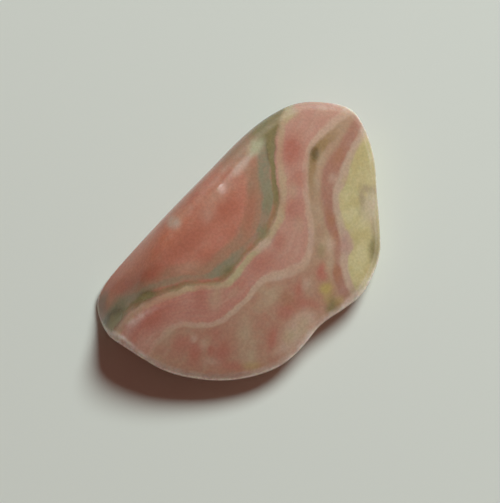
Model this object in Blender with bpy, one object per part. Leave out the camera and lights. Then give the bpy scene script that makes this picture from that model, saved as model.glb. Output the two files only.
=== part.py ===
"""Rhodochrosite slice: one loose piece of banded stone, sawn as a thick slice and rounded in a tumbler.

The stone is a single solid. It lies on its flat sawn underside. Its upper face slopes from a ridge beside
the long straight flank (+Y) down to a crisp rim on the other side (-Y), where it overhangs its resting
face. A worn bevel at the blunt tip (-X) comes down almost to the surface that the stone lies on.

Frame: +X runs along the slice towards its broad end, +Y towards the straight flank, and +Z up. The origin
is under the middle of the stone's box, on the surface that it lies on.
"""

import math

import bmesh
import bpy
from mathutils import Vector

MM = 0.001

# The rim is the line where the slice is widest, seen from above. Each station, in millimetres, gives its
# place (x, y), its height above the resting face, how far in from it the rounded shoulder reaches on the
# upper face, how far in the rounded undercut reaches on the resting face, and how far the upper face is
# lowered there.
RIM = [
    # x, y, height, shoulder, undercut, drop
    (-14.5, 7.1, 0.5, 1.1, 1.8, 0.0),  # blunt tip, flank side
    (-15.2, 6.1, 0.5, 1.1, 1.8, 0.0),
    (-15.6, 5.2, 0.8, 1.2, 2.4, -0.1),
    (-16.0, 3.8, 3.0, 0.8, 3.2, -0.5),
    (-16.2, 2.5, 4.6, 0.6, 4.0, -0.9),  # blunt tip, foremost corner
    (-15.4, -0.5, 5.1, 0.5, 4.1, 0.0),
    (-14.2, -3.4, 4.2, 0.5, 4.1, 0.4),  # belly, a long crisp curve
    (-12.3, -5.8, 3.5, 0.5, 4.0, 0.6),
    (-10.0, -7.8, 3.0, 0.5, 3.9, 0.5),
    (-7.3, -9.3, 2.9, 0.5, 3.8, 0.1),
    (-4.7, -10.0, 2.8, 0.5, 3.5, -0.1),
    (-2.3, -9.9, 3.0, 0.5, 3.3, -0.2),
    (0.4, -9.4, 3.3, 0.5, 3.1, -0.3),  # shallow notch in the belly
    (3.1, -9.6, 3.1, 0.5, 3.0, -0.4),
    (5.6, -9.6, 2.7, 0.6, 2.8, -0.5),
    (7.8, -8.7, 2.3, 0.6, 2.6, 0.1),  # short facet at the broad end
    (9.8, -7.5, 1.8, 0.6, 2.4, 0.8),
    (11.7, -5.2, 1.9, 0.6, 2.4, 1.3),
    (13.7, -2.4, 2.5, 0.6, 2.5, 1.3),
    (15.5, 0.1, 3.1, 0.7, 2.5, 0.8),
    (16.7, 3.0, 3.6, 0.8, 2.8, 0.5),  # broad round end
    (16.9, 5.4, 3.9, 1.0, 3.0, 0.4),
    (15.2, 7.5, 4.2, 1.3, 3.0, 0.0),
    (12.9, 9.2, 4.2, 1.6, 2.8, 0.0),
    (9.9, 9.9, 4.0, 1.9, 2.6, 0.0),  # straight flank
    (6.2, 9.9, 3.8, 2.1, 2.5, 0.0),
    (0.5, 9.2, 3.5, 2.2, 2.5, 0.0),
    (-5.0, 8.7, 2.9, 2.6, 2.6, 0.0),
    (-10.1, 8.2, 2.0, 2.2, 2.6, 0.0),
    (-13.1, 7.8, 1.0, 1.5, 2.2, 0.0),
]

# The upper face is one dome: its highest point, how fast it falls away along and across, and how far it is
# skewed, so that it stands higher over the tip's belly side. Towards the rim it is lowered by each
# station's drop.
CROWN_X = -1.6
CROWN_Y = 6.2
CROWN_HEIGHT = 8.25
FALL_ALONG = 0.0102
FALL_ACROSS = 0.0195
SKEW = 0.0017
DROP_POWER = 3.0  # how late, on the way out to the rim, that drop comes

# At the tip's flank side the dome is cut by a worn bevel: its height over the origin, its slopes along +X and
# +Y, and how softly it runs into the dome, in millimetres.
BEVEL_HEIGHT = 19.9
BEVEL_ALONG = 0.8
BEVEL_ACROSS = -1.03
BEVEL_BLEND = 1.4

# Inward from the rim, every section heads for a spine that runs along the stone's middle.
SPINE_HALF_LENGTH = 9.0
SPINE_Y = 0.5

# How finely the solid is faceted.
AROUND = 96
RIM_STEPS = 24  # places worked out between two rim stations
SHOULDER_RINGS = 6
UNDERCUT_RINGS = 8
UPPER_FACE_RINGS = 11
RESTING_FACE_RINGS = 3
MIDDLE_Y = -1.8  # where the rings of both faces shrink to
SMALLEST_RING = 0.16  # as a share of its face

STONE_PINK = (0.46, 0.21, 0.16, 1.0)


def clear_scene():
    for old in list(bpy.data.objects):
        bpy.data.objects.remove(old)


def catmull_rom(before, start, end, after, t):
    """The values between start and end, at t from 0 to 1, of a smooth curve through all four rows."""
    return [
        0.5 * (2 * b + (c - a) * t + (2 * a - 5 * b + 4 * c - d) * t**2 + (3 * b - a - 3 * c + d) * t**3)
        for a, b, c, d in zip(before, start, end, after)
    ]


def rim_rows(stations, count):
    """The closed rim through the stations, as rows spaced evenly along its length in plan."""
    fine = []
    for i in range(len(stations)):
        four = [stations[(i + k) % len(stations)] for k in (-1, 0, 1, 2)]
        fine += [catmull_rom(*four, step / RIM_STEPS) for step in range(RIM_STEPS)]
    lengths = [0.0]
    for i in range(len(fine)):
        lengths.append(lengths[-1] + math.dist(fine[i][:2], fine[(i + 1) % len(fine)][:2]))
    rows = []
    at = 0
    for i in range(count):
        wanted = lengths[-1] * i / count
        while lengths[at + 1] < wanted:
            at += 1
        share = (wanted - lengths[at]) / (lengths[at + 1] - lengths[at])
        here, there = fine[at], fine[(at + 1) % len(fine)]
        rows.append([a + (b - a) * share for a, b in zip(here, there)])
    return rows


def upper_face(x, y):
    """The height of the upper face over a point in plan: the dome, cut by the bevel."""
    dx, dy = x - CROWN_X, y - CROWN_Y
    dome = CROWN_HEIGHT - FALL_ALONG * dx**2 - FALL_ACROSS * dy**2 + SKEW * dx * dy
    bevel = BEVEL_HEIGHT + BEVEL_ALONG * x + BEVEL_ACROSS * y
    return (dome + bevel - math.hypot(dome - bevel, BEVEL_BLEND)) / 2


def to_spine(x, y):
    """The vector in plan from a rim point to the spine."""
    return Vector((SPINE_HALF_LENGTH * math.tanh(x / SPINE_HALF_LENGTH) - x, SPINE_Y - y))


def section(row):
    """One section's points from the upper face's inner edge, over the rim, to the resting face's edge."""
    x, y, rim, shoulder, undercut, drop = row
    reach = to_spine(x, y).length
    heading = to_spine(x, y) / reach
    points = []
    for ring in range(SHOULDER_RINGS, 0, -1):
        turn = math.pi / 2 * ring / SHOULDER_RINGS
        inset = shoulder * (1 - math.cos(turn))
        px, py = Vector((x, y)) + heading * inset
        face = upper_face(px, py) - drop * (1 - inset / reach) ** DROP_POWER
        points.append((px, py, rim + (face - rim) * math.sin(turn)))
    points.append((x, y, rim))
    for ring in range(1, UNDERCUT_RINGS + 1):
        turn = math.pi / 2 * ring / UNDERCUT_RINGS
        px, py = Vector((x, y)) + heading * undercut * (1 - math.cos(turn))
        points.append((px, py, rim * (1 - math.sin(turn))))
    return points


def face_rings(edge, count, height):
    """Rings that shrink from a face's edge towards its middle.

    They follow height(x, y), and fade out what the edge differs from it.
    """
    rings = []
    for ring in range(1, count + 1):
        share = 1 - (1 - SMALLEST_RING) * ring / count
        ring_points = []
        for x, y, z in edge:
            px, py = x * share, MIDDLE_Y + (y - MIDDLE_Y) * share
            ring_points.append((px, py, height(px, py) + (z - height(x, y)) * share**DROP_POWER))
        rings.append(ring_points)
    return rings


def stone_mesh():
    """The closed mesh: rings from the upper face's middle, over the rim, to the resting face's middle."""
    sections = [section(row) for row in rim_rows(RIM, AROUND)]
    side_rings = [list(ring) for ring in zip(*sections)]
    upper_rings = face_rings(side_rings[0], UPPER_FACE_RINGS, upper_face)
    resting_rings = face_rings(side_rings[-1], RESTING_FACE_RINGS, lambda x, y: 0.0)
    rings = upper_rings[::-1] + side_rings + resting_rings

    bm = bmesh.new()
    loops = [[bm.verts.new(Vector(point) * MM) for point in ring] for ring in rings]
    for above, below in zip(loops, loops[1:]):
        for i in range(AROUND):
            j = (i + 1) % AROUND
            bm.faces.new((above[i], below[i], below[j], above[j]))
    top = bm.verts.new(Vector((0.0, MIDDLE_Y, upper_face(0.0, MIDDLE_Y))) * MM)
    bottom = bm.verts.new(Vector((0.0, MIDDLE_Y, 0.0)) * MM)
    for i in range(AROUND):
        j = (i + 1) % AROUND
        bm.faces.new((top, loops[0][i], loops[0][j]))
        bm.faces.new((bottom, loops[-1][j], loops[-1][i]))
    bmesh.ops.triangulate(bm, faces=bm.faces, quad_method="SHORT_EDGE")
    bmesh.ops.recalc_face_normals(bm, faces=bm.faces)

    mesh = bpy.data.meshes.new("rhodochrosite_slice")
    bm.to_mesh(mesh)
    bm.free()
    mesh.shade_smooth()
    return mesh


def centre_in_plan(mesh):
    """Moves the mesh so that the middle of its box, in plan, is over the origin."""
    for axis in (0, 1):
        values = [vertex.co[axis] for vertex in mesh.vertices]
        middle = (min(values) + max(values)) / 2
        for vertex in mesh.vertices:
            vertex.co[axis] -= middle


def polished_stone():
    material = bpy.data.materials.new("polished_stone")
    material.use_nodes = True
    shader = material.node_tree.nodes["Principled BSDF"]
    shader.inputs["Base Color"].default_value = STONE_PINK
    shader.inputs["Roughness"].default_value = 0.3
    shader.inputs["Metallic"].default_value = 0.0
    return material


def main():
    clear_scene()
    mesh = stone_mesh()
    centre_in_plan(mesh)
    mesh.materials.append(polished_stone())
    stone = bpy.data.objects.new("rhodochrosite_slice", mesh)
    bpy.context.scene.collection.objects.link(stone)


main()
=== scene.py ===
"""Looks of the rhodochrosite slice: one tumbled piece of banded stone on a plain pale floor.

The CAD stone is replaced by a finer mesh of the same shape, with the shallow groove, pits and waves of a
tumbled surface. The banding was traced over the reference picture. Every point of the stone has a
place in that picture, seen from where the camera stands, so the traced lines and stains are compared with
the mesh in picture pixels. Where the stone hides a point from the camera, the pattern wanders off with
depth, as banding does in a real stone.
"""
import math

import bmesh
import bpy
import numpy as np
from mathutils import Matrix, Vector, noise
from mathutils.bvhtree import BVHTree


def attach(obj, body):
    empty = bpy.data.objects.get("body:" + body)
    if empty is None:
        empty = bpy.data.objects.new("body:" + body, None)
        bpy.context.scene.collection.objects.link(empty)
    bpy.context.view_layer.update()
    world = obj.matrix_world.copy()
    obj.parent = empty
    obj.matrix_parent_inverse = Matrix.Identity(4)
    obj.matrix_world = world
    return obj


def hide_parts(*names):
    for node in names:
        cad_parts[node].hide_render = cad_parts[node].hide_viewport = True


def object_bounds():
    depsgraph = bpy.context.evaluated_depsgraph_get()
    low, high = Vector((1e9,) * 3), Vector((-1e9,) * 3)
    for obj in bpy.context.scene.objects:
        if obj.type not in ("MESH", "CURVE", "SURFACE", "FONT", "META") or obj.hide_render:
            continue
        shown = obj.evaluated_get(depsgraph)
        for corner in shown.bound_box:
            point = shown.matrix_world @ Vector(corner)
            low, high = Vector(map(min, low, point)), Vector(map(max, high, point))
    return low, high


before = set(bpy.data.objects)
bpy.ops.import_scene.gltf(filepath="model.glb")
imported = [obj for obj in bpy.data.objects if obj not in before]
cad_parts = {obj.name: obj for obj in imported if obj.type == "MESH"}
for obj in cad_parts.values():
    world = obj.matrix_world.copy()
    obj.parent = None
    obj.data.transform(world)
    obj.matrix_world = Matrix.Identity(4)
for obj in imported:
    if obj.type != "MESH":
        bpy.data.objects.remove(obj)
CAD_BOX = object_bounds()

MM = 0.001

# The picture and the camera that took it.
PICTURE_WIDTH = 500
PICTURE_HEIGHT = 503
PIXELS_PER_MM = 10.0
CAMERA_DISTANCE = 220.0  # mm
CAMERA_AZIMUTH = -40.0  # degrees: the camera's right is turned this far clockwise from +X
CAMERA_ELEVATION = 75.0
AIM = Vector((0.01, 1.36, 0.0))  # mm
SENSOR = 36.0  # mm
NEAREST_SEEN = 10.0  # mm

# The bands, each a stroke along its middle: (x, y, half width, strength), in picture pixels. They are
# painted in this order. The vein, the pale line and the rose line also part the stone's zones, so these
# three go on past its outline at both ends, and run from the lower left to the upper right.
STROKES = {
    "core_edge": ("brownish", [
        (228, 150, 8, 0.2), (245, 158, 9, 0.5), (253, 172, 9, 0.8), (255, 186, 9, 0.9),
        (256, 202, 10, 0.9), (252, 220, 10, 0.8), (244, 237, 9, 0.8), (232, 250, 9, 0.8),
        (218, 261, 9, 0.8), (203, 268, 9, 0.8), (186, 271, 8, 0.6), (170, 275, 9, 0.7),
        (150, 283, 9, 0.8), (130, 293, 10, 0.9), (110, 301, 11, 0.9), (98, 310, 12, 0.9),
    ]),
    "green_band": ("grey_green", [
        (272, 98, 13, 0.9), (264, 118, 11, 0.9), (264, 134, 7, 0.9), (264, 150, 7, 0.95),
        (264, 165, 7, 0.95), (265, 180, 7, 0.95), (268, 195, 6, 1.0), (267, 208, 6, 1.0),
        (264, 220, 5, 0.6), (262, 231, 6, 0.9), (255, 239, 4, 0.5), (246, 246, 3, 0.4),
        (237, 256, 5, 0.7), (229, 264, 6, 0.9), (220, 271, 6, 1.0), (209, 276, 4, 0.8),
        (198, 278, 3, 0.5), (183, 278, 3.5, 0.5), (168, 282, 3.5, 0.5), (153, 287, 3.5, 0.5),
        (140, 295, 4.5, 0.6), (128, 302, 6, 0.7), (117, 311, 7, 0.8), (107, 324, 7, 0.8),
        (97, 340, 9, 0.8),
    ]),
    "fringe": ("cream", [
        (287, 96, 7, 0.9), (286, 112, 7, 0.9), (282, 126, 4, 0.6), (281, 140, 3.5, 0.5),
        (280, 155, 3.5, 0.4), (281, 170, 4, 0.5), (283, 184, 4, 0.55), (283, 200, 4, 0.5),
        (281, 214, 4.5, 0.7), (276, 226, 4, 0.6), (269, 237, 5, 0.7), (259, 248, 4, 0.6),
        (250, 257, 3.5, 0.9), (242, 267, 3.5, 0.9), (235, 276, 4, 1.0), (225, 284, 3.5, 0.7),
        (211, 286, 3.5, 0.5), (199, 287, 3.5, 0.5), (188, 288, 4, 0.6), (175, 293, 4, 0.6),
        (160, 300, 4, 0.4), (145, 306, 4, 0.35), (135, 313, 3.5, 0.35), (125, 322, 3.5, 0.35),
        (114, 338, 4, 0.5), (106, 352, 4, 0.5),
    ]),
    "pale_line": ("pale_line", [
        (136, 382, 3, 0.3), (145, 362, 3, 0.4), (154, 346, 3, 0.4), (164, 335, 3.5, 0.6),
        (172, 328, 3.5, 0.6), (182, 324, 3, 0.7), (195, 325, 3, 0.7), (208, 325, 3, 0.8),
        (220, 321, 3, 0.8), (230, 314, 3, 0.9), (240, 306, 3, 1.0), (247, 299, 3, 1.0),
        (253, 291, 3.5, 1.0), (260, 283, 3.5, 1.0), (270, 277, 4.5, 0.9), (282, 274, 4.5, 0.9),
        (293, 270, 6, 0.8), (303, 264, 5, 0.8), (309, 253, 3.5, 0.9), (311, 240, 3.5, 0.9),
        (311, 228, 3.5, 0.8), (309, 215, 3.5, 0.8), (307, 202, 3, 0.7), (306, 188, 3, 0.5),
        (305, 175, 3, 0.5), (306, 162, 2.5, 0.4), (309, 149, 3, 0.8), (316, 140, 3.5, 0.8),
        (325, 131, 4, 0.8), (335, 121, 4, 0.8), (346, 113, 5, 0.8), (357, 104, 5, 0.7),
        (372, 90, 5, 0.7),
    ]),
    "ochre_line": ("ochre", [
        (350, 120, 4, 0.0), (340, 128, 5, 0.1), (331, 136, 5, 0.5), (323, 144, 5, 0.9),
        (316, 153, 5, 1.0), (313, 165, 4.5, 0.8), (312, 178, 4.5, 0.6), (313, 190, 4, 0.3),
        (315, 202, 4, 0.0),
    ]),
    "rose_line": ("rose", [
        (384, 360, 5, 0.2), (366, 330, 5, 0.2), (353, 306, 5, 0.5), (346, 294, 5, 0.8),
        (341, 284, 5, 0.9), (338, 273, 5, 1.0), (336, 262, 5, 0.8), (337, 250, 5, 0.9),
        (335, 239, 5, 1.0), (332, 228, 5, 1.0), (329, 217, 6, 1.0), (327, 205, 7, 1.0),
        (327, 193, 7, 1.0), (328, 181, 8, 1.0), (332, 169, 9, 1.0), (338, 158, 8, 1.0),
        (344, 147, 7, 0.9), (351, 136, 7, 0.9), (358, 124, 7, 0.9), (366, 111, 7, 0.9),
        (376, 94, 7, 0.9),
    ]),
    "lilac_line": ("lilac", [
        (368, 120, 4, 0.5), (362, 134, 4, 0.6), (355, 147, 4, 0.8), (348, 160, 4, 0.9),
        (344, 172, 4, 0.9), (341, 182, 4, 0.8), (336, 192, 3.5, 0.6), (336, 204, 3, 0.7),
        (339, 216, 3.5, 0.7), (343, 228, 3.5, 0.6), (346, 240, 5, 0.4), (344, 254, 4, 0.6),
        (344, 266, 4, 0.7), (347, 278, 4, 0.6), (352, 289, 4, 0.5),
    ]),
}
YELLOW_EDGE = [
    (386, 330), (372, 308), (360, 296), (353, 286), (349, 276), (347, 266), (349, 256), (353, 246),
    (350, 237), (344, 227), (341, 216), (339, 205), (339, 195), (344, 185), (348, 174), (351, 163),
    (355, 152), (360, 140), (366, 126), (376, 108),
]
VEIN = [
    (98, 362, 4, 0.8), (104, 344, 5, 0.9), (109, 330, 5, 0.9), (115, 320, 5, 0.9), (123, 313, 4, 0.7),
    (132, 307, 3.5, 0.6), (142, 299, 3.5, 0.9), (149, 295, 3.5, 1.0), (161, 292, 2.8, 0.5),
    (175, 288, 2.8, 0.6), (184, 284, 2.5, 0.6), (195, 283, 2.3, 0.5), (205, 283, 2.3, 0.4),
    (213, 283, 2.5, 0.4), (222, 279, 2.8, 0.5), (230, 272, 2.8, 0.6), (238, 262, 2.3, 0.4),
    (248, 250, 2.2, 0.5), (257, 242, 2.3, 0.5), (265, 235, 2.6, 0.4), (270, 225, 2.8, 0.4),
    (274, 215, 2.8, 0.6), (276, 205, 3, 0.8), (276, 194, 3, 0.9), (274, 180, 2.8, 0.9),
    (273, 168, 2.8, 0.9), (272, 158, 3, 1.0), (271, 148, 4, 1.0), (271, 134, 5, 1.0),
    (274, 121, 6, 1.0), (280, 104, 6, 0.9), (284, 88, 4, 0.6),
]

# Stains of one tint each: (x, y, half length, half width, turn, strength), in pixels and degrees.
STAINS = {
    "deep_salmon": [
        (228, 210, 14, 8, 35, 0.7), (190, 240, 28, 8, 38, 0.7), (150, 274, 14, 6, 25, 0.9),
        (122, 286, 14, 7, 30, 1.0), (206, 257, 12, 6, 35, 0.6), (250, 212, 22, 5, 80, 0.5),
    ],
    "pale_salmon": [
        (217, 194, 20, 7, 42, 0.7), (242, 178, 14, 6, 60, 0.3), (190, 266, 12, 5, 22, 0.6),
        (140, 256, 18, 6, 45, 0.2), (182, 214, 12, 6, 45, 0.6),
    ],
    "vivid": [(150, 246, 46, 12, 44, 0.5), (112, 300, 16, 6, 60, 0.3)],
    # Painted highlights: a pale streak along the flank's ridge and pale dots where the polish would catch a
    # lamp.
    "painted_highlight": [(241, 164, 16, 5, 54, 0.7), (174, 223, 6, 6, 30, 1.0), (209, 214, 9, 6, 60, 0.3)],
    "red": [
        (292, 150, 15, 10, 80, 1.0), (297, 179, 9, 7, 60, 0.6), (294, 209, 11, 9, 85, 0.7),
        (262, 263, 14, 8, 25, 0.6), (279, 242, 8, 6, 80, 0.6), (165, 306, 16, 7, 25, 0.6),
        (152, 318, 16, 8, 25, 1.0), (132, 333, 9, 6, 30, 0.5), (200, 296, 10, 7, 90, 0.6),
        (200, 310, 16, 5, 0, 0.3), (240, 284, 8, 5, 40, 0.4), (303, 304, 10, 5, 160, 0.8),
        (287, 311, 9, 7, 30, 0.8), (273, 338, 11, 5, 80, 0.8), (300, 290, 7, 6, 90, 0.8),
        (322, 272, 8, 5, 85, 1.0), (222, 352, 11, 7, 75, 0.8), (213, 335, 9, 5, 10, 0.6),
        (195, 352, 12, 6, 80, 0.8), (211, 350, 4, 4, 0, 0.9), (182, 344, 10, 8, 30, 0.6),
        (232, 366, 12, 4, 172, 0.6), (312, 306, 6, 5, 0, 0.6),
    ],
    "ember": [
        (339, 156, 8, 5, 60, 0.8), (330, 218, 8, 4, 105, 0.9), (335, 240, 9, 4, 95, 0.8),
        (337, 273, 8, 4, 95, 0.8), (285, 298, 11, 6, 150, 0.6), (314, 312, 8, 5, 120, 0.4),
        (320, 232, 6, 3, 100, 0.2),
    ],
    "beige": [
        (268, 298, 9, 8, 30, 0.9), (262, 289, 5, 4, 0, 0.6), (276, 290, 6, 7, 0, 0.7),
        (258, 308, 6, 5, 60, 0.7), (246, 338, 24, 9, 97, 0.8), (252, 357, 8, 7, 30, 0.7),
        (326, 243, 9, 6, 80, 0.9), (330, 264, 8, 4, 70, 0.7), (304, 268, 7, 5, 60, 0.4),
        (320, 158, 8, 4, 85, 0.7), (317, 180, 12, 4, 85, 0.5), (318, 212, 12, 6, 85, 0.5),
        (216, 298, 12, 6, 80, 0.6), (310, 289, 8, 6, 60, 0.5), (166, 337, 10, 6, 45, 0.4),
        (233, 292, 7, 4, 50, 0.4), (160, 360, 12, 5, 150, 0.4), (298, 224, 8, 5, 100, 0.3),
        (292, 190, 9, 5, 80, 0.4), (208, 338, 6, 4, 30, 0.3),
    ],
    "pale": [
        (300, 331, 20, 13, 52, 0.9), (307, 316, 8, 8, 0, 0.5), (285, 348, 10, 6, 30, 0.6),
        (194, 338, 4, 4, 0, 0.6), (203, 345, 5, 4, 100, 0.4), (212, 361, 8, 4, 170, 0.4),
        (306, 283, 6, 4, 70, 0.5), (331, 247, 8, 4, 80, 0.6), (279, 276, 8, 4, 10, 0.6),
        (264, 244, 8, 5, 30, 0.9), (145, 345, 10, 6, 30, 0.3), (333, 178, 5, 4, 60, 0.5),
        # The stain at (350, 301) paints the pale violet highlight along the lower right rim.
        (350, 301, 11, 4, 40, 1.0), (325, 112, 10, 5, 10, 0.3),
    ],
    "brownish": [(240, 147, 26, 8, 48, 0.95)],
    "mauve": [
        # The stain at (350, 301) paints the pale violet highlight along the lower right rim.
        (345, 244, 10, 6, 85, 0.8), (350, 301, 8, 2, 40, 0.5), (311, 240, 9, 3, 88, 0.3),
        (298, 206, 9, 4, 85, 0.2), (343, 290, 5, 3, 80, 0.4),
    ],
    "cream": [
        (302, 327, 9, 5, 70, 0.4), (289, 337, 7, 6, 60, 0.5), (189, 288, 7, 3, 15, 0.2),
        (291, 113, 8, 5, 10, 0.5),
    ],
    "pale_green": [(256, 146, 10, 6, 60, 1.0), (264, 117, 8, 4, 40, 0.3)],
    "gold": [
        (358, 158, 14, 6, 60, 0.5), (360, 236, 10, 6, 40, 0.5), (370, 270, 10, 4, 55, 0.4),
        (345, 180, 6, 3, 60, 0.4), (352, 205, 9, 3, 20, 0.4),
    ],
    "pale_yellow": [
        (350, 214, 10, 6, 30, 0.9), (362, 224, 8, 6, 30, 0.7), (345, 196, 8, 5, 60, 0.6),
        (361, 254, 14, 6, 75, 0.7), (374, 231, 6, 4, 80, 0.5), (369, 180, 8, 5, 80, 0.5),
        (344, 212, 6, 3, 60, 0.4),
    ],
    "dun": [
        (370, 190, 9, 4, 165, 0.9), (362, 199, 9, 3.5, 100, 0.9), (361, 210, 6, 3, 85, 0.5),
        (374, 226, 12, 3.5, 95, 0.8), (357, 290, 8, 5, 40, 0.6),
    ],
    "fawn": [(371, 207, 14, 7, 85, 0.9)],
    "olive": [
        (116, 311, 13, 6, 58, 0.9), (333, 307, 7, 6, 70, 0.8), (374, 250, 13, 5, 85, 0.85),
        (263, 232, 7, 4, 65, 0.4), (226, 271, 7, 4, 45, 0.5), (321, 251, 6, 4, 85, 0.4),
        (330, 299, 6, 5, 70, 0.3), (260, 125, 17, 8, 55, 0.9), (268, 125, 13, 9, 75, 1.0),
        (268, 203, 10, 4, 85, 0.3),
    ],
    "mustard": [
        (326, 288, 6, 5, 35, 0.9), (328, 296, 7, 5, 60, 0.4), (339, 301, 5, 4, 40, 0.4),
        (252, 366, 8, 4, 5, 0.4),
    ],
    "umber": [
        (314, 154, 7, 5, 80, 0.7), (148, 296, 9, 5, 22, 0.8), (114, 319, 12, 7, 55, 1.0),
        (271, 149, 13, 4, 92, 0.85), (277, 196, 10, 3, 93, 0.5), (174, 287, 8, 2.5, 18, 0.3),
        (228, 272, 7, 3, 45, 0.3), (103, 304, 12, 5, 80, 0.3),
    ],
}

# Where the surface is pitted and dented, written as the stains are.
PITS = [(314, 154, 5, 3.5, 80, 1.0)]
DENTS = [
    (147, 296, 6, 3, 22, 1.0), (118, 316, 6, 4, 55, 1.0), (333, 307, 5, 4, 70, 1.0),
    (374, 250, 8, 3, 85, 1.0),
]

# Tints, as linear reflectance.
TINTS = {
    "salmon": (0.555, 0.225, 0.16),
    "deep_salmon": (0.48, 0.16, 0.105),
    "vivid": (0.72, 0.22, 0.115),
    "pale_salmon": (0.57, 0.31, 0.225),
    # Painted highlight: pale colour that stands in for the polish catching a lamp.
    "painted_highlight": (0.60, 0.42, 0.33),
    "brownish": (0.395, 0.235, 0.155),
    "vein": (0.26, 0.205, 0.10),
    "pink": (0.54, 0.295, 0.23),
    "deep_pink": (0.52, 0.235, 0.185),
    "pale_line": (0.565, 0.385, 0.29),
    "tan": (0.445, 0.285, 0.195),
    "russet": (0.47, 0.25, 0.18),
    "rose": (0.415, 0.21, 0.155),
    "lilac": (0.52, 0.365, 0.28),
    "yellow": (0.535, 0.445, 0.235),
    "pale_yellow": (0.60, 0.52, 0.30),
    "gold": (0.48, 0.375, 0.175),
    "red": (0.475, 0.18, 0.135),
    "ember": (0.41, 0.195, 0.12),
    "beige": (0.50, 0.355, 0.245),
    "pale": (0.58, 0.41, 0.32),
    "mauve": (0.48, 0.29, 0.245),
    "cream": (0.50, 0.41, 0.25),
    "grey_green": (0.295, 0.26, 0.175),
    "pale_green": (0.50, 0.48, 0.33),
    "dun": (0.42, 0.33, 0.21),
    "fawn": (0.56, 0.46, 0.335),
    "olive": (0.25, 0.205, 0.095),
    "mustard": (0.50, 0.37, 0.14),
    "ochre": (0.34, 0.215, 0.105),
    "umber": (0.135, 0.092, 0.04),
    # Pale paint for sharp edges: partly wear, partly a painted highlight where the rim catches light.
    "worn": (0.90, 0.80, 0.72),
    "floor": (0.79, 0.80, 0.755),
}

# The fine mesh that replaces the CAD stone. Lengths are in mm.
FINE_FACE = 0.15  # the side of one face
GROWTH = 0.06  # makes up for what the smoothing of the fine surface takes off
MERGE_DISTANCE = 0.0001  # the CAD's points that are this close are one
ROUNDING_LEVELS = 2
SMOOTHINGS_BEFORE_FIT = 4
SMOOTHINGS_AFTER_FIT = 2
QUAD_ANGLE = math.radians(60)  # how much two triangles may differ and still be joined
BOX_MARGIN = 0.0001  # the share of each side that the fine mesh leaves free inside the CAD's box

# The marks in the tumbled surface, in mm.
GROOVE_DEPTH = 0.03  # along the vein
GROOVE_WIDTH = 0.25
GROOVE_SIZE = 1.1  # how long its deeper and shallower stretches are
WAVE_DEPTH = 0.012
WAVE_SIZE = 3.5
PIT_DEPTH = 0.15
DENT_DEPTH = 0.05
FOOT_HEIGHT = 0.6  # below this the marks fade out, so that the resting face stays flat

# How the pattern strays from the picture's lines.
DRIFT = 4  # pixels for each mm of stone between the point and the camera
DRIFT_LIMIT = 6  # mm of stone after which it strays no further
DRIFT_SIZE = 6.0  # mm
JITTER = 1.2  # pixels, everywhere
JITTER_SIZE = 0.9  # mm
STAIN_REACH = 1.6  # mm of stone through which a stain fades out
STAIN_FALL = 0.7  # how steeply it fades at its edge
LAYER_WIDTH = 3  # mm, how wide one growth layer is in the core and in the yellow end
THINNEST_ZONE = 0.05  # mm, the least width that the zones between those two are given

PALE_EDGE_SHARPNESS = 0.12  # mm that a point stands out from the surface around it where its edge is fully pale, painted for wear and for the highlight it catches
SURROUNDINGS = 14  # how many edges away that surface is averaged

# Small lamps seen as glints in the polish: where they show, (x, y) in the picture, each one's width across
# the flank and along it, in mm, and its power. The flank is so round that a wide lamp shows as a small dot.
GLINT_DISTANCE = 220.0
GLINTS = [(221, 188, 28, 5, 0.006), (240, 165, 34, 40, 0.009)]
FLANK_LINE = Vector((1.0, 0.1, 0.0))  # the way that the long flank runs

KEY_DIRECTION = (0.600, 0.143, 0.787)
KEY_DISTANCE = 700.0  # mm
KEY_SIZE = 332.0  # mm
KEY_POWER = 4.31
KEY_TINT = (0.875, 1.0, 0.975)
WALL_LIGHT = (0.49, 0.465, 0.415)
CEILING_LIGHT = (0.105, 0.04, 0.03)
WALL_TOP = 0.08  # the sine of the elevation up to which the walls shine
CEILING_EDGE = 0.28  # the sine of the elevation from which all is ceiling
SIDE_SHARE = 0.6  # how much brighter the room is at the right than in the middle

FLOOR_HALF_SIZE = 1500.0  # mm
FLOOR_GAP = 0.05  # mm under the stone, so that the two faces don't coincide


def camera_axes():
    """The camera's right, its up and its back, pointing away from what it sees."""
    azimuth = math.radians(CAMERA_AZIMUTH)
    elevation = math.radians(CAMERA_ELEVATION)
    right = Vector((math.cos(azimuth), math.sin(azimuth), 0.0))
    away = Vector((-math.sin(azimuth), math.cos(azimuth), 0.0))
    back = Vector((0, 0, 1)) * math.sin(elevation) - away * math.cos(elevation)
    return right, back.cross(right), back


def camera_place():
    """Where the camera stands, in mm."""
    return AIM + camera_axes()[2] * CAMERA_DISTANCE


def in_picture(points):
    """Where each point of an (n, 3) array, in mm, is in the picture: an (n, 2) array of pixels."""
    right, up, back = (np.array(axis) for axis in camera_axes())
    rays = points - (np.array(AIM) + back * CAMERA_DISTANCE)
    scale = PIXELS_PER_MM * CAMERA_DISTANCE / -(rays @ back)
    x = PICTURE_WIDTH / 2 + rays @ right * scale
    y = PICTURE_HEIGHT / 2 - rays @ up * scale
    return np.stack([x, y], 1)


def smooth_line(points, steps=12):
    """A Catmull-Rom curve through the points, as an array with steps places for each stretch."""
    p = np.array([points[0], *points, points[-1]], float)
    t = np.linspace(0, 1, steps, endpoint=False)[:, None]
    stretches = [
        0.5 * (2 * b + (c - a) * t + (2 * a - 5 * b + 4 * c - d) * t**2 + (3 * b - a - 3 * c + d) * t**3)
        for a, b, c, d in zip(p, p[1:], p[2:], p[3:])
    ]
    return np.concatenate(stretches)


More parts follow.
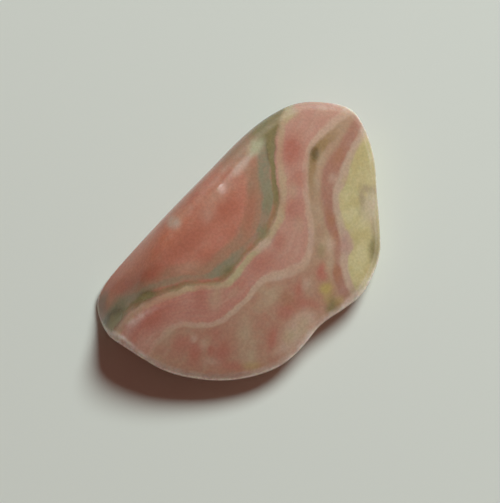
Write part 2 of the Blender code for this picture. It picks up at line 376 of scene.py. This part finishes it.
def line_fields(places, points, at_once=4000):
    """Each place's distance from the line in mm, and what else the points give at the nearest point of it.

    The distance is positive on the lower right of a line that runs from the lower left to the upper right.
    Past the line's ends it is the distance to its last point, less half a pixel.
    """
    line = smooth_line(points)
    along = np.gradient(line[:, :2], axis=0)
    along /= np.linalg.norm(along, axis=1, keepdims=True)
    distance = np.empty(len(places))
    nearest = np.empty(len(places), int)
    for start in range(0, len(places), at_once):
        some = slice(start, start + at_once)
        gap = places[some, None] - line[:, :2]
        near = (gap**2).sum(2).argmin(1)
        step = gap[np.arange(len(near)), near]
        cross = along[near, 0] * step[:, 1] - along[near, 1] * step[:, 0]
        distance[some] = np.sign(cross) * np.maximum(np.abs(cross), np.hypot(*step.T) - 0.5)
        nearest[some] = near
    return (distance / PIXELS_PER_MM, *line[nearest, 2:].T)


def wander(points, size, seed):
    """Smooth noise from about -1 to 1 at each point, with features of this size in mm."""
    shift = Vector((17.3 * seed, 5.1 * seed, 9.7 * seed))
    return np.array([noise.noise(Vector(point) / size + shift) for point in points])


def stain_cover(places, depth, stains):
    """How much of one tint's stains covers each place, from 0 to 1."""
    bare = np.ones(len(places))
    for x, y, half_length, half_width, turn, strength in stains:
        angle = math.radians(turn)
        dx = places[:, 0] - x
        dy = y - places[:, 1]
        u = (dx * math.cos(angle) + dy * math.sin(angle)) / half_length
        v = (dy * math.cos(angle) - dx * math.sin(angle)) / half_width
        w = depth / STAIN_REACH
        bare *= 1 - strength * np.exp(-((u**2 + v**2) ** 1.5) * STAIN_FALL - w**2)
    return 1 - bare


def smoothing(piece, name, iterations):
    modifier = piece.modifiers.new(name, "SMOOTH")
    modifier.iterations = iterations


def rounded_object(name, mesh):
    """An object with this mesh and a subdivision surface over it."""
    piece = bpy.data.objects.new(name, mesh)
    bpy.context.scene.collection.objects.link(piece)
    rounding = piece.modifiers.new("rounding", "SUBSURF")
    rounding.levels = rounding.render_levels = ROUNDING_LEVELS
    return piece


def fine_surface(node):
    """The node's shape as a new mesh in small even faces, in mm, smooth where the CAD is faceted."""
    bm = bmesh.new()
    bm.from_mesh(node.data)
    bmesh.ops.remove_doubles(bm, verts=bm.verts, dist=MERGE_DISTANCE * MM)
    bmesh.ops.scale(bm, verts=bm.verts, vec=(1 / MM,) * 3)
    bmesh.ops.join_triangles(
        bm, faces=bm.faces, angle_face_threshold=QUAD_ANGLE, angle_shape_threshold=QUAD_ANGLE
    )
    cage_mesh = bpy.data.meshes.new("cage")
    bm.to_mesh(cage_mesh)
    bm.free()

    cage = rounded_object("cage", cage_mesh)
    fine = rounded_object("fine", cage_mesh)
    voxels = fine.modifiers.new("voxels", "REMESH")
    voxels.mode = "VOXEL"
    voxels.voxel_size = FINE_FACE
    smoothing(fine, "evening", SMOOTHINGS_BEFORE_FIT)
    fit = fine.modifiers.new("fit", "SHRINKWRAP")
    fit.target = cage
    smoothing(fine, "last evening", SMOOTHINGS_AFTER_FIT)

    graph = bpy.context.evaluated_depsgraph_get()
    mesh = bpy.data.meshes.new_from_object(fine.evaluated_get(graph))
    mesh.name = "polished_slice"
    for helper in (fine, cage):
        bpy.data.objects.remove(helper)
    bpy.data.meshes.remove(cage_mesh)
    return mesh


def vertex_vectors(mesh, name):
    """What each vertex has under this name, co or normal, as an (n, 3) array."""
    vectors = np.empty(len(mesh.vertices) * 3, np.float32)
    mesh.vertices.foreach_get(name, vectors)
    return vectors.reshape(-1, 3).astype(float)


def surface_tree(mesh):
    """The mesh in the form that rays are cast at."""
    faces = [polygon.vertices for polygon in mesh.polygons]
    return BVHTree.FromPolygons([vertex.co for vertex in mesh.vertices], faces)


def hidden_depth(mesh, points, normals):
    """How much stone, in mm, lies between each point and the camera."""
    tree = surface_tree(mesh)
    eye = camera_place()
    depth = np.zeros(len(points))
    facing = ((np.array(eye) - points) * normals).sum(1) > 0
    for i in np.flatnonzero(~facing):
        point = Vector(points[i])
        hit = tree.ray_cast(eye, (point - eye).normalized())[0]
        if hit is not None:
            depth[i] = (point - hit).length
    return depth


def sharpness(mesh, points, normals):
    """How far, in mm, each point stands out from the average of the surface near it."""
    edges = np.empty(len(mesh.edges) * 2, np.int32)
    mesh.edges.foreach_get("vertices", edges)
    ends = np.concatenate([edges[0::2], edges[1::2]])
    others = np.concatenate([edges[1::2], edges[0::2]])
    count = np.bincount(ends, minlength=len(points))[:, None]
    average = points
    for _ in range(SURROUNDINGS):
        total = np.stack([np.bincount(ends, average[others, axis], len(points)) for axis in range(3)], 1)
        average = total / count
    return ((points - average) * normals).sum(1)


def pattern_places(points, depth):
    """Where each point looks up the pattern, in picture pixels."""
    drift = np.stack([wander(points, DRIFT_SIZE, seed) for seed in (1, 2)], 1)
    jitter = np.stack([wander(points, JITTER_SIZE, seed) for seed in (3, 4)], 1)
    return in_picture(points) + drift * np.minimum(depth, DRIFT_LIMIT)[:, None] * DRIFT + jitter * JITTER


def pattern_fields(places, depth):
    """What the material reads at each point: distances in mm from the lines, and the stains' cover."""
    fields = {}
    lines = {"vein": VEIN, **{name: stroke[1] for name, stroke in STROKES.items()}}
    for name, points_along in lines.items():
        fields[name], width, fields[name + "_strength"] = line_fields(places, points_along)
        fields[name + "_width"] = width / PIXELS_PER_MM
    fields["yellow_edge"] = line_fields(places, YELLOW_EDGE)[0]
    edges = [fields[name] for name in ("vein", "pale_line", "rose_line", "yellow_edge")]
    between = [np.clip(a / np.maximum(a - b, THINNEST_ZONE), 0, 1) for a, b in zip(edges, edges[1:])]
    in_core = np.minimum(edges[0], 0) / LAYER_WIDTH
    in_yellow = np.maximum(edges[-1], 0) / LAYER_WIDTH
    fields["layer"] = in_core + sum(between) + in_yellow
    fields["along"] = (places[:, 0] - places[:, 1]) / math.sqrt(2) / PIXELS_PER_MM
    for tint, stains in STAINS.items():
        fields[tint + "_stain"] = stain_cover(places, depth, stains)
    return fields


def tumbled_depth(points, places, depth, from_vein):
    """How far, in mm, the tumbled surface lies under the even one at each point."""
    groove = GROOVE_DEPTH * np.exp(-((from_vein / GROOVE_WIDTH) ** 2)) * (1 + wander(points, GROOVE_SIZE, 5))
    waves = WAVE_DEPTH * (1 + wander(points, WAVE_SIZE, 6))
    pits = PIT_DEPTH * stain_cover(places, depth, PITS)
    dents = DENT_DEPTH * stain_cover(places, depth, DENTS)
    return (groove + waves + pits + dents) * np.clip(points[:, 2] / FOOT_HEIGHT, 0, 1)


def into_box(points):
    """The points, stretched a little so that they just fill the CAD's box."""
    low, high = (np.array(corner) / MM for corner in CAD_BOX)
    points[:, 2] = np.maximum(points[:, 2], 0)
    share = (points - points.min(0)) / np.ptp(points, axis=0)
    return low + share * (high - low) * (1 - 2 * BOX_MARGIN) + (high - low) * BOX_MARGIN


def polished_slice(node):
    """The stone's visible mesh, with the fields that its material reads."""
    mesh = fine_surface(node)
    points = vertex_vectors(mesh, "co")
    normals = vertex_vectors(mesh, "normal")
    depth = hidden_depth(mesh, points, normals)
    places = pattern_places(points, depth)
    fields = pattern_fields(places, depth)
    fields["worn"] = np.clip(sharpness(mesh, points, normals) / PALE_EDGE_SHARPNESS, 0, 1)
    for name, values in fields.items():
        attribute = mesh.attributes.new(name, "FLOAT", "POINT")
        attribute.data.foreach_set("value", values.astype(np.float32))

    sink = tumbled_depth(points, places, depth, fields["vein"])
    points = into_box(points + normals * (GROWTH - sink)[:, None])
    mesh.vertices.foreach_set("co", (points * MM).astype(np.float32).ravel())
    mesh.shade_smooth()
    mesh.update()
    piece = bpy.data.objects.new("polished_slice", mesh)
    bpy.context.scene.collection.objects.link(piece)
    return piece


class Nodes:
    """Makes a material's nodes. Each call returns the new node's output, to be used in later calls."""

    def __init__(self, name):
        self.material = bpy.data.materials.new(name)
        self.material.use_nodes = True
        self.tree = self.material.node_tree
        self.shader = self.tree.nodes["Principled BSDF"]

    def put(self, value, socket):
        """Gives the socket another node's output, a tint by its name, or a plain value."""
        if isinstance(value, bpy.types.NodeSocket):
            self.tree.links.new(value, socket)
        elif isinstance(value, str):
            socket.default_value = (*TINTS[value], 1.0)
        else:
            socket.default_value = value

    def place(self):
        """The point being shaded, in mm."""
        here = self.tree.nodes.new("ShaderNodeTexCoord").outputs["Object"]
        scale = self.tree.nodes.new("ShaderNodeVectorMath")
        scale.operation = "SCALE"
        self.put(here, scale.inputs[0])
        scale.inputs["Scale"].default_value = 1 / MM
        return scale.outputs[0]

    def field(self, name):
        """The mesh's field of this name."""
        node = self.tree.nodes.new("ShaderNodeAttribute")
        node.attribute_name = name
        return node.outputs["Fac"]

    def math(self, operation, a, b=0.0):
        node = self.tree.nodes.new("ShaderNodeMath")
        node.operation = operation
        self.put(a, node.inputs[0])
        self.put(b, node.inputs[1])
        return node.outputs[0]

    def rise(self, value, low, high, start=0.0, end=1.0):
        """Goes smoothly from start, where value is low, to end, where it is high."""
        node = self.tree.nodes.new("ShaderNodeMapRange")
        node.interpolation_type = "SMOOTHSTEP"
        for number, socket in zip((value, low, high, start, end), node.inputs):
            self.put(number, socket)
        return node.outputs[0]

    def noise(self, vector, size, detail=2.0, roughness=0.5):
        """Noise around 0.5, with features of this size in mm."""
        node = self.tree.nodes.new("ShaderNodeTexNoise")
        self.put(vector, node.inputs["Vector"])
        node.inputs["Scale"].default_value = 1 / size
        node.inputs["Detail"].default_value = detail
        node.inputs["Roughness"].default_value = roughness
        return node.outputs["Fac"]

    def stroke(self, name, fray, medium):
        """How much a stroke covers: full in its middle, with a soft frayed edge."""
        distance = self.math("ABSOLUTE", self.math("ADD", self.field(name), fray))
        cover = self.rise(self.math("DIVIDE", distance, self.field(name + "_width")), 0.5, 1.35, 1.0, 0.0)
        patchy = self.rise(medium, 0.30, 0.60, 0.85, 1.1)
        strength = self.math("MULTIPLY", self.field(name + "_strength"), patchy)
        return self.math("MINIMUM", self.math("MULTIPLY", cover, strength), 1.0)

    def vector(self, x, y, z):
        node = self.tree.nodes.new("ShaderNodeCombineXYZ")
        for value, socket in zip((x, y, z), node.inputs):
            self.put(value, socket)
        return node.outputs[0]

    def tint(self, share, under, over, blend="MIX"):
        """The colour under, covered with over by this share."""
        node = self.tree.nodes.new("ShaderNodeMix")
        node.data_type = "RGBA"
        node.blend_type = blend
        self.put(share, node.inputs["Factor"])
        self.put(under, node.inputs["A"])
        self.put(over, node.inputs["B"])
        return next(output for output in node.outputs if output.type == "RGBA")


def stone_colour(n, fray, medium, fine, coarse):
    """The stone's colour, and its pale edges: zones, bands, stains, vein, then edges painted pale for wear
    and highlight.
    """
    vein, pale, rose, yellow = (
        n.math("ADD", n.field(name), fray) for name in ("vein", "pale_line", "rose_line", "yellow_edge")
    )
    layer = n.field("layer")
    along = n.field("along")

    # Growth layers: fine stripes that follow the bands.
    stripes_at = n.vector(n.math("MULTIPLY", layer, 9.0), n.math("MULTIPLY", along, 0.22), 0.0)
    stripes = n.noise(stripes_at, 1.0, 4.0, 0.6)

    core = n.tint(n.rise(coarse, 0.40, 0.62, 0.0, 0.4), "salmon", "deep_salmon")
    core = n.tint(n.rise(medium, 0.45, 0.70, 0.0, 0.25), core, "pale_salmon")
    pink = n.tint(n.rise(along, -6.0, 4.0, 0.8, 0.15), "pink", "deep_pink")
    pink = n.tint(n.rise(stripes, 0.45, 0.70, 0.0, 0.35), pink, "pale_line")
    tan = n.tint(n.rise(along, 1.0, 6.0), "russet", "tan")
    tan = n.tint(n.rise(medium, 0.45, 0.65, 0.0, 0.35), tan, "beige")
    gold = n.tint(n.rise(medium, 0.42, 0.65, 0.0, 0.5), "yellow", "pale_yellow")
    colour = n.tint(n.rise(vein, -0.05, 0.20), core, pink)
    colour = n.tint(n.rise(pale, -0.05, 0.20), colour, tan)
    colour = n.tint(n.rise(rose, -0.10, 0.20), colour, "lilac")
    colour = n.tint(n.rise(yellow, -0.15, 0.20), colour, gold)

    for name, (tint, _) in STROKES.items():
        colour = n.tint(n.stroke(name, fray, medium), colour, tint)
    for tint in STAINS:
        cover = n.math("MULTIPLY", n.field(tint + "_stain"), n.rise(medium, 0.30, 0.60, 0.8, 1.1))
        colour = n.tint(n.math("MINIMUM", cover, 1.0), colour, tint)
    colour = n.tint(n.stroke("vein", fray, medium), colour, "vein")
    # Sharp edges are painted pale: partly wear, partly a painted highlight where the rim catches light.
    patchy = n.rise(medium, 0.35, 0.6, 0.65, 1.0)
    worn = n.math("MULTIPLY", n.rise(n.field("worn"), 0.15, 0.7), patchy)
    colour = n.tint(worn, colour, "worn")

    grain = n.tint(n.rise(fine, 0.35, 0.65), (0.94, 0.94, 0.94, 1), (1.06, 1.06, 1.06, 1))
    return n.tint(1.0, colour, grain, "MULTIPLY"), worn


def stone_material():
    """Banded stone with a soft polish. Noise of three sizes mottles it and frays its bands."""
    n = Nodes("banded_rhodochrosite")
    place = n.place()
    coarse = n.noise(place, 3.0, 2.0, 0.5)
    medium = n.noise(place, 0.9, 3.0, 0.6)
    fine = n.noise(place, 0.25, 3.0, 0.6)
    fray = n.math("ADD", n.math("MULTIPLY", medium, 0.35), n.math("MULTIPLY", fine, 0.2))
    fray = n.math("SUBTRACT", fray, 0.275)  # mm by which every band's edge wanders
    colour, worn = stone_colour(n, fray, medium, fine, coarse)
    n.put(colour, n.shader.inputs["Base Color"])

    # The polish is duller in the umber stains and where the edges are worn.
    rough = n.rise(n.noise(place, 0.5, 3.0), 0.3, 0.7, 0.07, 0.12)
    rough = n.math("ADD", rough, n.math("MULTIPLY", n.field("umber_stain"), 0.3))
    rough = n.math("ADD", rough, n.math("MULTIPLY", worn, 0.25))
    n.put(rough, n.shader.inputs["Roughness"])
    n.shader.inputs["IOR"].default_value = 1.6
    n.shader.inputs["Specular IOR Level"].default_value = 0.22
    n.shader.inputs["Subsurface Weight"].default_value = 0.35
    n.shader.inputs["Subsurface Radius"].default_value = (2.5, 0.8, 0.35)
    n.shader.inputs["Subsurface Scale"].default_value = 1.0 * MM
    bump = n.tree.nodes.new("ShaderNodeBump")
    bump.inputs["Distance"].default_value = 0.001 * MM
    bump.inputs["Strength"].default_value = 0.5
    n.put(n.noise(place, 0.35, 4.0, 0.6), bump.inputs["Height"])
    n.put(bump.outputs["Normal"], n.shader.inputs["Normal"])
    return n.material


def floor_material():
    n = Nodes("pale_floor")
    n.put("floor", n.shader.inputs["Base Color"])
    n.shader.inputs["Roughness"].default_value = 0.9
    n.shader.inputs["Specular IOR Level"].default_value = 0.2
    return n.material


def add_floor():
    bm = bmesh.new()
    bmesh.ops.create_grid(bm, x_segments=1, y_segments=1, size=FLOOR_HALF_SIZE * MM)
    mesh = bpy.data.meshes.new("floor")
    bm.to_mesh(mesh)
    bm.free()
    mesh.materials.append(floor_material())
    floor = bpy.data.objects.new("floor", mesh)
    floor.location.z = -FLOOR_GAP * MM
    bpy.context.scene.collection.objects.link(floor)


def add_camera():
    data = bpy.data.cameras.new("camera")
    data.sensor_width = SENSOR
    data.lens = SENSOR * CAMERA_DISTANCE * PIXELS_PER_MM / max(PICTURE_WIDTH, PICTURE_HEIGHT)
    data.clip_start = NEAREST_SEEN * MM
    camera = bpy.data.objects.new("camera", data)
    camera.location = camera_place() * MM
    camera.rotation_mode = "QUATERNION"
    camera.rotation_quaternion = camera_axes()[2].to_track_quat("Z", "Y")
    bpy.context.scene.collection.objects.link(camera)
    bpy.context.scene.camera = camera


def add_lamp(name, direction, distance, size, power, tint=(1, 1, 1)):
    """A round area lamp in that direction from the stone, facing it. distance and size are in mm.

    It returns the lamp.
    """
    data = bpy.data.lights.new(name, "AREA")
    data.shape = "DISK"
    data.size = size * MM
    data.energy = power
    data.color = tint
    lamp = bpy.data.objects.new(name, data)
    lamp.visible_camera = False
    direction = Vector(direction).normalized()
    lamp.location = direction * distance * MM
    lamp.rotation_mode = "QUATERNION"
    lamp.rotation_quaternion = direction.to_track_quat("Z", "Y")
    bpy.context.scene.collection.objects.link(lamp)
    return lamp


def mirrored_direction(tree, normals, faces, x, y):
    """The direction in which the camera sees a reflection at this pixel of the picture."""
    right, up, back = camera_axes()
    ray = right * (x - PICTURE_WIDTH / 2) + up * (PICTURE_HEIGHT / 2 - y)
    ray -= back * PIXELS_PER_MM * CAMERA_DISTANCE
    ray.normalize()
    place, _, face, _ = tree.ray_cast(camera_place() * MM, ray)
    normal = Vector(normals[list(faces[face])].mean(0)).normalized()
    return ray.reflect(normal) + place / (GLINT_DISTANCE * MM)


def add_glints(stone):
    """Narrow lamps, each turned to follow the flank. They light nothing, and show only in the polish."""
    faces = [polygon.vertices for polygon in stone.data.polygons]
    tree = surface_tree(stone.data)
    normals = vertex_vectors(stone.data, "normal")
    for number, (x, y, across, along, power) in enumerate(GLINTS, 1):
        direction = mirrored_direction(tree, normals, faces, x, y)
        lamp = add_lamp(f"glint_{number}", direction, GLINT_DISTANCE, across, power)
        lamp.data.shape = "ELLIPSE"
        lamp.data.size_y = along * MM
        lamp.visible_diffuse = False
        back = direction.normalized()
        side = FLANK_LINE.cross(back).normalized()
        lamp.rotation_quaternion = Matrix((side, back.cross(side), back)).transposed().to_quaternion()


def add_surroundings():
    """A dim warm room, with pale walls low down all round that light the stone's sides.

    The walls at the right-hand side of the picture are brighter than those at the left.
    """
    world = bpy.data.worlds.new("studio")
    world.use_nodes = True
    nodes = world.node_tree.nodes
    links = world.node_tree.links
    direction = nodes.new("ShaderNodeTexCoord").outputs["Generated"]
    height = nodes.new("ShaderNodeSeparateXYZ")
    links.new(direction, height.inputs[0])
    ramp = nodes.new("ShaderNodeValToRGB")
    ramp.color_ramp.interpolation = "EASE"
    wall, ceiling = ramp.color_ramp.elements
    wall.position = WALL_TOP
    wall.color = (*WALL_LIGHT, 1.0)
    ceiling.position = CEILING_EDGE
    ceiling.color = (*CEILING_LIGHT, 1.0)
    links.new(height.outputs["Z"], ramp.inputs["Fac"])
    links.new(ramp.outputs["Color"], nodes["Background"].inputs["Color"])
    rightward = nodes.new("ShaderNodeVectorMath")
    rightward.operation = "DOT_PRODUCT"
    rightward.inputs[1].default_value = camera_axes()[0]
    links.new(direction, rightward.inputs[0])
    strength = nodes.new("ShaderNodeMath")
    strength.operation = "MULTIPLY_ADD"
    strength.inputs[1].default_value = SIDE_SHARE
    strength.inputs[2].default_value = 1.0
    links.new(rightward.outputs["Value"], strength.inputs[0])
    links.new(strength.outputs[0], nodes["Background"].inputs["Strength"])
    bpy.context.scene.world = world


def add_key_lamp():
    """The main lamp. It stands towards the picture's upper right, about 52 degrees high."""
    lamp = add_lamp("key", KEY_DIRECTION, KEY_DISTANCE, KEY_SIZE, KEY_POWER, KEY_TINT)
    lamp.visible_glossy = False


stone = polished_slice(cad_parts["rhodochrosite_slice"])
stone.data.materials.clear()
stone.data.materials.append(stone_material())
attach(stone, "root")
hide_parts("rhodochrosite_slice")
add_floor()
add_camera()
add_surroundings()
add_key_lamp()
add_glints(stone)
bpy.context.scene.view_settings.view_transform = "Standard"
